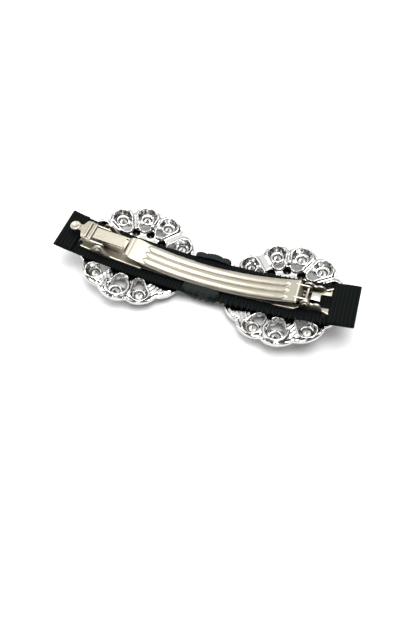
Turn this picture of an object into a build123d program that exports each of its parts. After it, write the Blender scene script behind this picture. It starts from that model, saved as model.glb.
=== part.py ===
from build123d import *
from math import atan, cos, degrees, radians, sin, sqrt
import os

# Hair clip with two rhinestone medallions, lying on its front: the ornaments face down and
# the spring clip faces up. Millimetres. +X runs along the ribbon to the hinge end, +Y across
# it, +Z up. The origin is on the surface it lies on, under the middle of its outline.

# ---- driving dimensions -------------------------------------------------------------------
clip_y = -2.0                 # centre line of the ribbon and clip; the medallions are on y = 0

ribbon_length = 105.6
ribbon_width = 16.0
ribbon_thick = 0.6
ribbon_mid_z = 4.7            # back face of the ribbon at its middle
bow_radius = 195.0            # bend of the ribbon, the stiffener and the base bar
flap_thick = 0.9
left_flap_edge = -46.4
right_flap_edge = 44.2
stiffener_length = 97.0
stiffener_width = 14.0
stiffener_thick = 0.7
pad_thick = 0.45
pad_radius = 6.0

sheet = 0.6                   # steel sheet of the base bar and its walls
bar_left = -45.4
bar_right = 46.4
bar_half_width = 4.2
bar_flare = 5.0
wall_y = 4.9                  # middle of the base bar's outer walls
wall_height = 1.5
pinch_y = 3.6                 # middle of the hinge cheeks
ear_radius = 1.9
window_left = 33.4            # window that the hinge cheeks are bent up from
window_right = 45.6
window_half_width = 2.6

lever_pivot_x = -36.8
lever_pivot_z = 11.7
hinge_x = 36.2
hinge_z = 11.4
pin_radius = 0.55
running_gap = 0.05            # radial clearance of a turning part on its pin
pin_head_radius = 0.95

arm_left = -28.4
arm_right = 33.3
arm_width = 8.8
arm_tip_width = 6.9
arm_sheet = 0.55
arm_low_x = 1.6               # where the arm is lowest
arm_low_z = 6.5
arm_bow_radius = 86.0
lug_y = 2.6                   # middle of the arm's hinge lugs
lug_radius = 1.2

leaf_left = -24.0
leaf_width = 4.4
leaf_sheet = 0.3
leaf_gap = 0.15

lever_sheet = 0.55
lever_wall_y = 3.45
lever_boss_radius = 1.3       # round end of each lever wall, on the pin
knob_x = -47.3
knob_radius = 1.85
nose_x = -28.75
nose_half_width = 2.45

medallion_x = {"left": -25.7, "right": 28.3}
lobe_peak = 21.3
lobe_valley = 19.8
casting_thick = 1.3
rim_ring = 16.6               # radius of the circle that the rim stones stand on
rim_stone_angles = (1, 33, 69, 100, 132, 163, 196, 229, 265, 294)
leaf_lobe_angle = 328         # the one lobe of the rim that is a leaf and holds no stone
rim_cup_radius = 2.5
rim_stone_radius = 1.9
rim_cup_depth = 2.67
rim_cup_rise = 0.2            # how far a rim cup stands above the casting's back face
inner_ring = 9.9
inner_cup_radius = 2.2
inner_stone_radius = 1.75
inner_cup_depth = 1.68
inner_seat_lip = 0.25         # the hole behind an inner stone is this much smaller than it
centre_cup_radius = 4.6
centre_stone_radius = 4.0
centre_cup_depth = 2.2
centre_cup_floor = 0.4
girdle_height = 0.25          # straight side of every stone
opening_inner = 10.9
opening_widest = 12.9
opening_outer = 14.4
opening_half_width = 2.1

clip_plane = Plane(origin=(0, clip_y, 0), x_dir=(1, 0, 0), z_dir=(0, -1, 0))


# ---- curves -------------------------------------------------------------------------------
def ribbon_z(x):
    """Height of the ribbon's back face."""
    return ribbon_mid_z + bow_radius - sqrt(bow_radius**2 - x**2)


def arm_z(x):
    """Height of the arm's upper face."""
    return arm_low_z + arm_bow_radius - sqrt(arm_bow_radius**2 - (x - arm_low_x) ** 2)


def strip_outline(curve, x_start, x_end, low, high):
    """Side view of a bent strip: the curve from x_start to x_end, offset by low and high."""
    middle = (x_start + x_end) / 2
    ThreePointArc(
        (x_start, curve(x_start) + low), (middle, curve(middle) + low), (x_end, curve(x_end) + low)
    )
    Line((x_end, curve(x_end) + low), (x_end, curve(x_end) + high))
    ThreePointArc(
        (x_end, curve(x_end) + high), (middle, curve(middle) + high), (x_start, curve(x_start) + high)
    )
    Line((x_start, curve(x_start) + high), (x_start, curve(x_start) + low))


def polar(radius, angle):
    """Point at a radius and an angle in degrees."""
    return (radius * cos(radians(angle)), radius * sin(radians(angle)))


def save(builder, name):
    builder.part.label = name
    export_step(builder.part, f"parts/{name}.step")


os.makedirs("parts", exist_ok=True)

# ---- ribbon: one run under the clip, its two ends folded back over it ---------------------
with BuildPart() as ribbon_band:
    with BuildSketch(clip_plane):
        with BuildLine():
            strip_outline(ribbon_z, -ribbon_length / 2, ribbon_length / 2, -ribbon_thick, 0)
        make_face()
    extrude(amount=ribbon_width / 2, both=True)
    with BuildSketch(clip_plane):
        with BuildLine():
            strip_outline(ribbon_z, -ribbon_length / 2, left_flap_edge, 0, flap_thick)
        make_face()
        with BuildLine():
            strip_outline(ribbon_z, right_flap_edge, ribbon_length / 2, 0, flap_thick)
        make_face()
    extrude(amount=ribbon_width / 2, both=True)
    # the base bar's end is tucked under the right flap
    with BuildSketch(clip_plane):
        with BuildLine():
            strip_outline(ribbon_z, right_flap_edge - 1, bar_right + 0.05, 0, sheet)
        make_face()
    extrude(amount=bar_flare + 0.05, both=True, mode=Mode.SUBTRACT)
    folds = ribbon_band.edges().filter_by(Axis.Y)
    fillet(folds.group_by(Axis.X)[0] + folds.group_by(Axis.X)[-1], radius=0.55)
save(ribbon_band, "ribbon_band")

# ---- stiffener strip on the front face of the ribbon --------------------------------------
with BuildPart() as band_stiffener:
    with BuildSketch(clip_plane):
        with BuildLine():
            strip_outline(
                ribbon_z,
                -stiffener_length / 2,
                stiffener_length / 2,
                -ribbon_thick - stiffener_thick,
                -ribbon_thick,
            )
        make_face()
    extrude(amount=stiffener_width / 2, both=True)
save(band_stiffener, "band_stiffener")

# ---- gathered cloth knot round the middle of the ribbon -----------------------------------
knot_left = -5.5
knot_right = 7.5
knot_inset = 2.3              # the knot is narrower in front, between the medallions
knot_step = 1.7
knot_waist_z = 3.6
knot_bottom_z = 0.7
knot_top_z = 5.7
knot_front_y = -11.0
knot_back_y = 8.6
knot_channel = 4.9            # half width of the way left for the clip

with BuildPart() as centre_knot:
    with BuildSketch(Plane.XZ.offset(-knot_back_y)):
        with BuildLine():
            Polyline(
                (knot_left, knot_top_z),
                (knot_right, knot_top_z),
                (knot_right, knot_waist_z),
                (knot_right - knot_step, knot_waist_z - 0.4),
                (knot_right - knot_inset, knot_bottom_z),
                (knot_left + knot_inset, knot_bottom_z),
                (knot_left + knot_step, knot_waist_z - 0.4),
                (knot_left, knot_waist_z),
                close=True,
            )
        make_face()
    extrude(amount=knot_back_y - knot_front_y)
    knot_edges = centre_knot.edges().filter_by(Axis.X)
    fillet(knot_edges.group_by(Axis.Z)[0] + knot_edges.group_by(Axis.Z)[-1], radius=1.6)
    # slot for the ribbon and the stiffener
    with BuildSketch(clip_plane):
        with BuildLine():
            strip_outline(
                ribbon_z, knot_left - 1, knot_right + 1, -ribbon_thick - stiffener_thick - 0.05, 0.05
            )
        make_face()
    extrude(amount=ribbon_width / 2 + 0.1, both=True, mode=Mode.SUBTRACT)
    # way for the base bar, the leaf and the arm
    with BuildSketch(clip_plane):
        with BuildLine():
            strip_outline(ribbon_z, knot_left - 1, knot_right + 1, 0, 3)
        make_face()
    extrude(amount=knot_channel, both=True, mode=Mode.SUBTRACT)
save(centre_knot, "centre_knot")

# ---- base bar: one steel stamping ---------------------------------------------------------
# hinge end: the walls step in to two cheeks, then flare out under the ribbon's flap
cheek_path = ((26.5, wall_y), (33.0, wall_y), (35.0, pinch_y), (40.8, pinch_y), (44.0, bar_flare))
cheek_radius = 1.7
second_hump_x = 39.9
second_hump_z = 11.0

with BuildPart() as hinge_walls:
    with BuildSketch(Plane.XY):
        for side in (1, -1):
            outer = [(x, clip_y + side * (y + sheet / 2)) for x, y in cheek_path]
            inner = [(x, clip_y + side * (y - sheet / 2)) for x, y in reversed(cheek_path)]
            with BuildLine():
                Polyline(*outer, *inner, close=True)
            make_face()
    extrude(amount=20)
    with BuildSketch(clip_plane):
        with BuildLine():
            strip_outline(ribbon_z, cheek_path[0][0], cheek_path[-1][0], 0, wall_height)
        make_face()
        with Locations((hinge_x, hinge_z), (second_hump_x, second_hump_z)):
            Circle(cheek_radius)
        with BuildLine():
            Polyline(
                (hinge_x - cheek_radius, ribbon_z(hinge_x - cheek_radius) + 0.4),
                (hinge_x - cheek_radius, hinge_z),
                (hinge_x, hinge_z + 0.9),
                (second_hump_x, second_hump_z + 0.9),
                (second_hump_x + cheek_radius, second_hump_z),
                (43.0, ribbon_z(43.0) + 1.0),
                (43.0, ribbon_z(43.0) + 0.4),
                close=True,
            )
        make_face()
    extrude(amount=bar_flare + 2, both=True, mode=Mode.INTERSECT)

with BuildPart() as base_bar:
    # floor
    with BuildSketch(clip_plane):
        with BuildLine():
            strip_outline(ribbon_z, bar_left, bar_right, 0, sheet)
        make_face()
    extrude(amount=bar_flare + 1, both=True)
    with BuildSketch(Plane.XY):
        with BuildLine():
            floor_path = (
                (bar_left, 3.4),
                (-43.8, wall_y),
                (-22.0, wall_y),
                (-21.0, bar_half_width),
                (25.5, bar_half_width),
                *cheek_path,
                (bar_right, bar_flare),
            )
            Polyline(
                *[(x, clip_y + y) for x, y in floor_path],
                *[(x, clip_y - y) for x, y in reversed(floor_path)],
                close=True,
            )
        make_face()
    extrude(amount=20, mode=Mode.INTERSECT)
    # window at the hinge end
    with BuildSketch(Plane.XY):
        with Locations(((window_left + window_right) / 2, clip_y)):
            Rectangle(window_right - window_left, 2 * window_half_width)
    extrude(amount=20, mode=Mode.SUBTRACT)
    # walls and ears at the clasp end
    for side in (1, -1):
        with BuildSketch(clip_plane.offset(side * wall_y)):
            with BuildLine():
                strip_outline(ribbon_z, -43.8, -21.5, 0, wall_height)
            make_face()
            with BuildLine():
                Polyline(
                    (lever_pivot_x - 4.6, ribbon_z(lever_pivot_x) + 1),
                    (lever_pivot_x - ear_radius + 0.3, lever_pivot_z + 0.8),
                    (lever_pivot_x + ear_radius - 0.3, lever_pivot_z + 0.8),
                    (lever_pivot_x + 4.2, ribbon_z(lever_pivot_x) + 0.4),
                    close=True,
                )
            make_face()
            with Locations((lever_pivot_x, lever_pivot_z)):
                Circle(ear_radius)
        extrude(amount=sheet / 2, both=True)
    add(hinge_walls.part)
    # pin holes
    with BuildSketch(clip_plane):
        with Locations((lever_pivot_x, lever_pivot_z), (hinge_x, hinge_z)):
            Circle(pin_radius)
    extrude(amount=bar_flare + 2, both=True, mode=Mode.SUBTRACT)
save(base_bar, "base_bar")

# ---- pins, each with a round head outside each wall ---------------------------------------
for name, x, z, wall in (
    ("lever_pin", lever_pivot_x, lever_pivot_z, wall_y),
    ("hinge_pin", hinge_x, hinge_z, pinch_y),
):
    outside = wall + sheet / 2
    with BuildPart() as pin:
        with BuildSketch(clip_plane):
            with Locations((x, z)):
                Circle(pin_radius)
        extrude(amount=outside + 0.4, both=True)
        for side in (1, -1):
            with BuildSketch(clip_plane.offset(side * (outside + 0.3))):
                with Locations((x, z)):
                    Circle(pin_head_radius)
            extrude(amount=0.3, both=True)
        fillet(pin.edges().group_by(Axis.Y)[0] + pin.edges().group_by(Axis.Y)[-1], radius=0.25)
    save(pin, name)

# ---- tension leaf: a thin bowed strip with a hooked tab at the hinge end -------------------
leaf_low = sheet + leaf_gap
leaf_turn_x = 35.0
tab_left = 37.6
tab_right = 40.5
tab_z = 11.4
tab_half_width = 1.4

with BuildPart() as tension_leaf:
    with BuildSketch(clip_plane):
        with BuildLine():
            strip_outline(ribbon_z, leaf_left, leaf_turn_x, leaf_low, leaf_low + leaf_sheet)
        make_face()
    extrude(amount=leaf_width / 2, both=True)
    with BuildSketch(clip_plane):
        with BuildLine():
            turn_z = ribbon_z(leaf_turn_x) + leaf_low
            Polyline(
                (leaf_turn_x - 0.2, turn_z),
                (leaf_turn_x - 0.2, turn_z + leaf_sheet),
                (36.9, 9.25),
                (tab_left, tab_z),
                (tab_right, tab_z + 0.1),
                (tab_right + 0.5, 10.0),
                (tab_right + 0.2, 10.0),
                (tab_right - 0.2, tab_z - 0.25),
                (tab_left + 0.3, tab_z - 0.35),
                (37.3, 8.95),
                close=True,
            )
        make_face()
    extrude(amount=tab_half_width, both=True)
save(tension_leaf, "tension_leaf")

# ---- clip arm: a ribbed channel with two hinge lugs ---------------------------------------
rib_left = -21.5
rib_right = 30.0
groove_y = 1.35
groove_half_width = 0.42
groove_depth = 0.22
edge_drop = 0.9               # depth of the turned-down long edges
end_drop = 1.5                # depth of the flange at the hinge end

with BuildPart() as clip_arm:
    with BuildSketch(clip_plane):
        with BuildLine():
            strip_outline(arm_z, arm_left, arm_right, -arm_sheet, 0)
        make_face()
    extrude(amount=arm_width / 2, both=True)
    for side in (1, -1):
        with BuildSketch(clip_plane.offset(side * (arm_width - arm_sheet) / 2)):
            with BuildLine():
                strip_outline(arm_z, rib_left, arm_right - 1.5, -edge_drop, -arm_sheet / 2)
            make_face()
        extrude(amount=arm_sheet / 2, both=True)
    # flange across the hinge end
    with BuildSketch(clip_plane):
        with BuildLine():
            strip_outline(arm_z, arm_right - arm_sheet, arm_right, -end_drop, 0)
        make_face()
    extrude(amount=arm_width / 2 - 0.3, both=True)
    # tip narrowed at the clasp end
    with BuildSketch(Plane.XY):
        with BuildLine():
            arm_path = (
                (arm_left, arm_tip_width / 2 - 0.7),
                (arm_left + 0.6, arm_tip_width / 2),
                (-25.2, arm_width / 2),
                (arm_right, arm_width / 2),
            )
            Polyline(
                *[(x, clip_y + y) for x, y in arm_path],
                *[(x, clip_y - y) for x, y in reversed(arm_path)],
                close=True,
            )
        make_face()
    extrude(amount=20, mode=Mode.INTERSECT)
    # hinge lugs
    for side in (1, -1):
        with BuildSketch(clip_plane.offset(side * lug_y)):
            with BuildLine():
                Polyline(
                    (arm_right - 1.6, arm_z(arm_right - 1.6) - 0.2),
                    (arm_right, arm_z(arm_right) - 0.2),
                    (hinge_x + 0.5, hinge_z + 1.0),
                    (hinge_x, hinge_z - 1.2),
                    (arm_right - 1.6, hinge_z - 1.0),
                    close=True,
                )
            make_face()
            with Locations((hinge_x, hinge_z)):
                Circle(lug_radius)
        extrude(amount=arm_sheet / 2, both=True)
    with BuildSketch(clip_plane):
        with Locations((hinge_x, hinge_z)):
            Circle(pin_radius + running_gap)
    extrude(amount=arm_width / 2, both=True, mode=Mode.SUBTRACT)
    # two long grooves leave three ribs
    for side in (1, -1):
        with BuildSketch(clip_plane.offset(side * groove_y)):
            with BuildLine():
                strip_outline(arm_z, rib_left, rib_right, -groove_depth, 0.5)
            make_face()
        extrude(amount=groove_half_width, both=True, mode=Mode.SUBTRACT)
save(clip_arm, "clip_arm")

# ---- clasp lever: knob, neck, shoulders, two folds and a flat nose ------------------------
lever_top = ((-46.2, 15.0), (-43.0, 14.9), (-42.0, 14.35), (-41.0, 14.3), (-40.0, 13.85), (nose_x, 12.8))
knob_top_z = 15.3
knob_height = 0.9
dimple_radius = 2.0           # the dimple is a shallow cap of this sphere
dimple_rise = 1.6             # its centre above the knob's top
shoulder_half_width = lever_wall_y + lever_sheet / 2

with BuildPart() as clasp_lever:
    with BuildSketch(clip_plane):
        with BuildLine():
            underside = [(x, z - lever_sheet) for x, z in reversed(lever_top)]
            Polyline(*lever_top, *underside, close=True)
        make_face()
    extrude(amount=shoulder_half_width, both=True)
    with BuildSketch(Plane.XY):
        with BuildLine():
            lever_path = (
                (-46.2, 1.25),
                (-45.4, 1.25),
                (-44.4, shoulder_half_width),
                (-41.2, shoulder_half_width),
                (-40.6, nose_half_width),
                (nose_x, nose_half_width),
            )
            Polyline(
                *[(x, clip_y + y) for x, y in lever_path],
                *[(x, clip_y - y) for x, y in reversed(lever_path)],
                close=True,
            )
        make_face()
    extrude(amount=20, mode=Mode.INTERSECT)
    # walls that reach down to the pivot
    for side in (1, -1):
        with BuildSketch(clip_plane.offset(side * lever_wall_y)):
            with BuildLine():
                Polyline(
                    (-43.4, 14.5),
                    (-41.3, 14.1),
                    (-35.7, 12.5),
                    (-35.6, 11.2),
                    (-37.4, 10.5),
                    (-43.0, 13.4),
                    close=True,
                )
            make_face()
            with Locations((lever_pivot_x, lever_pivot_z)):
                Circle(lever_boss_radius)
        extrude(amount=lever_sheet / 2, both=True)
    with BuildSketch(clip_plane):
        with Locations((lever_pivot_x, lever_pivot_z)):
            Circle(pin_radius + running_gap)
    extrude(amount=shoulder_half_width + 1, both=True, mode=Mode.SUBTRACT)
    # round knob with a dimple
    with BuildSketch(Plane.XY.offset(knob_top_z - knob_height)):
        with Locations((knob_x, clip_y)):
            Circle(knob_radius)
    extrude(amount=knob_height)
    with Locations((knob_x, clip_y, knob_top_z + dimple_rise)):
        Sphere(dimple_radius, mode=Mode.SUBTRACT)
save(clasp_lever, "clasp_lever")

# ---- lever spring: a bent strip that holds the knob up ------------------------------------
spring_sheet = 0.3
spring_half_width = 1.5
spring_foot = -34.5

with BuildPart() as lever_spring:
    with BuildSketch(clip_plane):
        with BuildLine():
            strip_outline(ribbon_z, spring_foot, -30.5, sheet, sheet + spring_sheet)
        make_face()
        with BuildLine():
            foot_z = ribbon_z(spring_foot) + sheet
            Polyline(
                (spring_foot + 0.3, foot_z),
                (spring_foot + 0.3, foot_z + spring_sheet - 0.02),
                (-41.9, 13.5),
                (-42.1, 13.2),
                (spring_foot - 0.1, foot_z),
                close=True,
            )
        make_face()
    extrude(amount=spring_half_width, both=True)
save(lever_spring, "lever_spring")

# ---- thread: whip stitches on the ribbon's edges, and ties over the base bar's ends --------
thread_radius = 0.25
stitch_pitch = 3.4
stitch_count = 10
stitch_first_x = 10.0

with BuildPart() as edge_stitches:
    for side in (1, -1):
        for i in range(stitch_count):
            x = stitch_first_x + i * stitch_pitch
            start = clip_y + side * (ribbon_width / 2 - 1.0)
            with BuildSketch(Plane(origin=(x, start, ribbon_z(x) + 0.15), z_dir=(0, side, 0))):
                Circle(thread_radius)
            extrude(amount=1.2)
save(edge_stitches, "edge_stitches")

with BuildPart() as bar_ties:
    for side in (1, -1):
        for x, reach in ((-44.5, 3.2), (42.7, 3.4)):
            z = ribbon_z(x) + sheet + thread_radius
            start = clip_y + side * reach
            with BuildSketch(Plane(origin=(x, start, z), z_dir=(0, side, 0))):
                Circle(thread_radius)
            extrude(amount=2.6)
save(bar_ties, "bar_ties")

# ---- medallions: mirror images of one openwork casting, set with stones -------------------
lobe_angles = rim_stone_angles + (leaf_lobe_angle,)


def midway(angles):
    """Angles halfway from each angle to the next, all the way round."""
    return [(a + b) / 2 for a, b in zip(angles, angles[1:] + (angles[0] + 360,))]


def dome(radius):
    """Height of the casting's back face above its middle, at a radius."""
    return bow_radius - sqrt(bow_radius**2 - radius**2)


def stone_profile(radius, girdle_z, point_height, crown_height):
    """Half section of a cut stone: the point up, the flat table down."""
    Polyline(
        (0, girdle_z + point_height),
        (radius, girdle_z),
        (radius, girdle_z - girdle_height),
        (radius * 0.6, girdle_z - girdle_height - crown_height),
        (0, girdle_z - girdle_height - crown_height),
        close=True,
    )


for hand, centre_x in medallion_x.items():
    mirror_sign = -1 if hand == "right" else 1
    slope = centre_x / sqrt(bow_radius**2 - centre_x**2)
    tilt = atan(slope)
    back_z = ribbon_z(centre_x) - (ribbon_thick + stiffener_thick + pad_thick) / cos(tilt)
    # local frame of the casting: its middle, tangent to the ribbon's bend
    origin = Vector(centre_x, 0, back_z)
    along = Vector(cos(tilt), 0, sin(tilt))
    up = Vector(-sin(tilt), 0, cos(tilt))
    face_plane = Plane(origin=origin, x_dir=along, z_dir=up)
    section_plane = Plane(origin=origin, x_dir=along, z_dir=(0, -1, 0))
    spin_axis = Axis(origin=origin, direction=up)

    def place(radius, angle):
        """Point of the casting's face, mirrored on the right-hand medallion."""
        u, v = polar(radius, angle)
        return (mirror_sign * u, v)

    def local_section(radius, angle):
        """Section plane through a stone's own axis, and that axis."""
        u, v = place(radius, angle)
        spot = origin + along * u + Vector(0, v, 0)
        return Plane(origin=spot, x_dir=along, z_dir=(0, -1, 0)), Axis(origin=spot, direction=up)

    with BuildPart() as medallion:
        with BuildSketch(section_plane):
            with BuildLine():
                rim = lobe_peak + 1
                ThreePointArc((0, 0), (rim / 2, dome(rim / 2)), (rim, dome(rim)))
                Line((rim, dome(rim)), (rim, dome(rim) - casting_thick))
                ThreePointArc(
                    (rim, dome(rim) - casting_thick),
                    (rim / 2, dome(rim / 2) - casting_thick),
                    (0, -casting_thick),
                )
                Line((0, -casting_thick), (0, 0))
            make_face()
        revolve(axis=spin_axis)
        # scalloped edge
        with BuildSketch(face_plane.offset(-5)):
            with BuildLine():
                valleys = midway(lobe_angles)
                for i, angle in enumerate(lobe_angles):
                    ThreePointArc(
                        place(lobe_valley, valleys[i - 1]),
                        place(lobe_peak, angle),
                        place(lobe_valley, valleys[i]),
                    )
            make_face()
        extrude(amount=10, mode=Mode.INTERSECT)
        # collars for the rim stones
        for angle in rim_stone_angles:
            plane, axis = local_section(rim_ring, angle)
            top = dome(rim_ring) + rim_cup_rise
            with BuildSketch(plane):
                with BuildLine():
                    Polyline(
                        (0, top),
                        (rim_cup_radius, top),
                        (rim_cup_radius - 0.1, top - rim_cup_depth),
                        (0, top - rim_cup_depth),
                        close=True,
                    )
                make_face()
            revolve(axis=axis)
        # openwork: a kite inside each rim stone, and a hole behind every stone
        with BuildSketch(face_plane.offset(-8)):
            for angle in rim_stone_angles:
                spread = degrees(opening_half_width / opening_widest)
                with BuildLine():
                    Polyline(
                        place(opening_inner, angle),
                        place(opening_widest, angle - spread),
                        place(opening_outer, angle),
                        place(opening_widest, angle + spread),
                        close=True,
                    )
                make_face()
            with Locations(*[place(rim_ring, angle) for angle in rim_stone_angles]):
                Circle(rim_stone_radius)
            with Locations(*[place(inner_ring, angle) for angle in midway(lobe_angles)]):
                Circle(inner_stone_radius - inner_seat_lip)
        extrude(amount=16, mode=Mode.SUBTRACT)
    save(medallion, f"{hand}_medallion")

    with BuildPart() as rim_stones:
        for angle in rim_stone_angles:
            plane, axis = local_section(rim_ring, angle)
            girdle = dome(rim_ring) + rim_cup_rise - rim_cup_depth + girdle_height
            with BuildSketch(plane):
                with BuildLine():
                    stone_profile(rim_stone_radius, girdle, 1.5, 0.55)
                make_face()
            revolve(axis=axis)
    save(rim_stones, f"{hand}_rim_stones")

    inner_top = dome(inner_ring - inner_cup_radius) - casting_thick
    with BuildPart() as inner_cups:
        for angle in midway(lobe_angles):
            plane, axis = local_section(inner_ring, angle)
            with BuildSketch(plane):
                with BuildLine():
                    Polyline(
                        (inner_stone_radius, inner_top + 0.05),
                        (inner_cup_radius, inner_top + 0.05),
                        (inner_cup_radius, inner_top - inner_cup_depth),
                        (inner_stone_radius, inner_top - inner_cup_depth),
                        close=True,
                    )
                make_face()
            revolve(axis=axis)
    save(inner_cups, f"{hand}_inner_cups")

    with BuildPart() as inner_stones:
        for angle in midway(lobe_angles):
            plane, axis = local_section(inner_ring, angle)
            with BuildSketch(plane):
                with BuildLine():
                    girdle = inner_top - inner_cup_depth + girdle_height
                    stone_profile(inner_stone_radius, girdle, 1.2, 0.5)
                make_face()
            revolve(axis=axis)
    save(inner_stones, f"{hand}_inner_stones")

    with BuildPart() as centre_cup:
        with BuildSketch(section_plane):
            with BuildLine():
                Polyline(
                    (0, -casting_thick),
                    (centre_cup_radius, -casting_thick),
                    (centre_cup_radius, -casting_thick - centre_cup_depth),
                    (centre_stone_radius, -casting_thick - centre_cup_depth),
                    (centre_stone_radius, -casting_thick - centre_cup_depth + centre_cup_floor),
                    (0, -casting_thick - centre_cup_floor),
                    close=True,
                )
            make_face()
        revolve(axis=spin_axis)
    save(centre_cup, f"{hand}_centre_cup")

    with BuildPart() as centre_stone:
        with BuildSketch(section_plane):
            with BuildLine():
                girdle = -casting_thick - centre_cup_depth + centre_cup_floor
                point_height = -centre_cup_floor - casting_thick - girdle
                stone_profile(centre_stone_radius, girdle, point_height, 0.7)
            make_face()
        revolve(axis=spin_axis)
    save(centre_stone, f"{hand}_centre_stone")

    with BuildPart() as glue_pad:
        with BuildSketch(section_plane):
            with BuildLine():
                ThreePointArc((0, 0), (pad_radius / 2, dome(pad_radius / 2)), (pad_radius, dome(pad_radius)))
                Line((pad_radius, dome(pad_radius)), (pad_radius, dome(pad_radius) + pad_thick))
                ThreePointArc(
                    (pad_radius, dome(pad_radius) + pad_thick),
                    (pad_radius / 2, dome(pad_radius / 2) + pad_thick),
                    (0, pad_thick),
                )
                Line((0, pad_thick), (0, 0))
            make_face()
        revolve(axis=spin_axis)
        # its other face is flat against the stiffener
        with BuildSketch(clip_plane):
            with BuildLine():
                reach = pad_radius + 2
                strip_outline(
                    ribbon_z, centre_x - reach, centre_x + reach, -ribbon_thick - stiffener_thick, 1
                )
            make_face()
        extrude(amount=2 * pad_radius, both=True, mode=Mode.SUBTRACT)
    save(glue_pad, f"{hand}_glue_pad")
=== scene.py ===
from math import acos, atan, atan2, cos, degrees, exp, hypot, pi, radians, sin, sqrt
import random

import bmesh
import bpy
from bpy.props import FloatProperty, FloatVectorProperty, IntProperty, PointerProperty
from bpy.types import Operator, Panel, PropertyGroup
from mathutils import Matrix, Vector, noise


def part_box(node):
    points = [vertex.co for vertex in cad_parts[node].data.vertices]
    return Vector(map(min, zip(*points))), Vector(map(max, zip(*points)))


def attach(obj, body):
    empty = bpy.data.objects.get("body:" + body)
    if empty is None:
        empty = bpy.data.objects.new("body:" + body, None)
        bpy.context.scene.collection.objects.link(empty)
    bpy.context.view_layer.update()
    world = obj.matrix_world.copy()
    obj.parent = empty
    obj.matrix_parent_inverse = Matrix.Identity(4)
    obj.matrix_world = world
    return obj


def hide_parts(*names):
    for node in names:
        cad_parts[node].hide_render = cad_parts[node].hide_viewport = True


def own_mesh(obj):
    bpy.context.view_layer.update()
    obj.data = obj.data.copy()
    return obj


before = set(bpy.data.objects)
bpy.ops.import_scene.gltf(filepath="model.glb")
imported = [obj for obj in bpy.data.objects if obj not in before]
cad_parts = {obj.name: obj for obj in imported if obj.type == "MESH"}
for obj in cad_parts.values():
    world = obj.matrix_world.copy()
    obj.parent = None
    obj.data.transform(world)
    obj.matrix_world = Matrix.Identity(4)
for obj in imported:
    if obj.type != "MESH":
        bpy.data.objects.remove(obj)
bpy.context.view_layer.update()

bl_info = {
    "name": "Rhinestone hair clip",
    "version": (1, 0, 0),
    "blender": (4, 5, 0),
    "location": "View3D > Sidebar > Hair Clip",
    "description": "Builds the looks of a rhinestone hair clip around its CAD frame",
    "category": "Add Mesh",
}

MM = 0.001                       # the pieces below are modelled in millimetres

# ---- places that the pieces share, in millimetres -------------------------------------------
CLIP_Y = -2.0                    # centre line of the ribbon and the steel clip
BOW_RADIUS = 195.0               # bend of the ribbon and of the castings
RIBBON_MID_Z = 4.7               # back face of the ribbon at its middle
RIBBON_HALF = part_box("ribbon_band")[1].x / MM
ARM_LOW_X = 1.6
ARM_LOW_Z = 6.5
ARM_BOW = 86.0
LEVER_PIVOT = (-36.8, 11.7)
CASTING_DROP = 1.75              # ribbon, stiffener and pad, between the ribbon's face and a casting
MEDALLION_X = {"left": -25.7, "right": 28.3}
SEAT_ANGLES = (1, 33, 69, 100, 132, 163, 196, 229, 265, 294)
LEAF_LOBE = 328                  # the one lobe that is a leaf and holds no stone
SEAT_RING = 16.6
INNER_RING = 9.9


def ribbon_z(x):
    """Height of the ribbon's back face."""
    return RIBBON_MID_Z + BOW_RADIUS - sqrt(BOW_RADIUS**2 - x * x)


def arm_z(x):
    """Height of the arm's upper face, without its ribs."""
    return ARM_LOW_Z + ARM_BOW - sqrt(ARM_BOW**2 - (x - ARM_LOW_X) ** 2)


def dome(radius):
    """Height of a casting's back face above its middle."""
    return BOW_RADIUS - sqrt(BOW_RADIUS**2 - radius * radius)


def ease(value):
    """0 to 1 with level ends."""
    t = min(1.0, max(0.0, value))
    return t * t * (3 - 2 * t)


# ---- properties -----------------------------------------------------------------------------
def colour(name, description, default):
    return FloatVectorProperty(
        name=name, description=description, subtype="COLOR", size=3, min=0, max=1, default=default
    )


def length(name, description, default):
    return FloatProperty(name=name, description=description, default=default, unit="LENGTH")


class ClipColours(PropertyGroup):
    nickel: colour("Nickel", "Warm plating of the steel clip", (0.50, 0.465, 0.385))
    silver: colour("Silver", "Bright plating of the castings", (0.66, 0.655, 0.645))
    ribbon: colour("Ribbon", "Grosgrain ribbon", (0.0012, 0.0022, 0.0020))
    cloth: colour("Cloth", "Cloth of the knot", (0.0048, 0.0085, 0.0078))
    thread: colour("Thread", "Sewing thread", (0.006, 0.008, 0.008))
    felt: colour("Felt", "Stiffener and pads", (0.008, 0.009, 0.009))
    stone: colour("Stone", "Cut glass", (0.95, 0.98, 1.0))
    foil: colour("Foil", "Foil on the back of each stone", (0.42, 0.44, 0.44))
    floor: colour("Floor", "Floor under the clip", (0.9, 0.9, 0.9))


class ClipSizes(PropertyGroup):
    rib_pitch: length("Rib pitch", "Distance from one ribbon rib to the next", 0.0012)
    ribbon_sheet: length("Ribbon thickness", "Thickness of the ribbon over a rib", 0.0005)
    cloth_sheet: length("Cloth thickness", "Thickness of the knot's cloth", 0.00032)
    thread_radius: length("Thread radius", "Radius of the sewing thread", 0.0002)
    stitch_pitch: length("Stitch pitch", "Distance between edge stitches", 0.0017)
    rib_height: length("Arm rib height", "Height of the ribs pressed into the arm", 0.00052)
    casting_voxel: length("Casting grain", "Voxel that fuses each casting", 0.00023)
    edge_round: length("Edge rounding", "Rounding of the sheet steel's edges", 0.00008)


class ClipStage(PropertyGroup):
    floor_size: length("Floor size", "Side of the square floor", 3.0)
    lens: FloatProperty(name="Lens", description="Focal length in millimetres", default=29.56)
    softbox: FloatProperty(name="Softbox", description="Power of the overhead light in watts", default=2.9)


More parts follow.
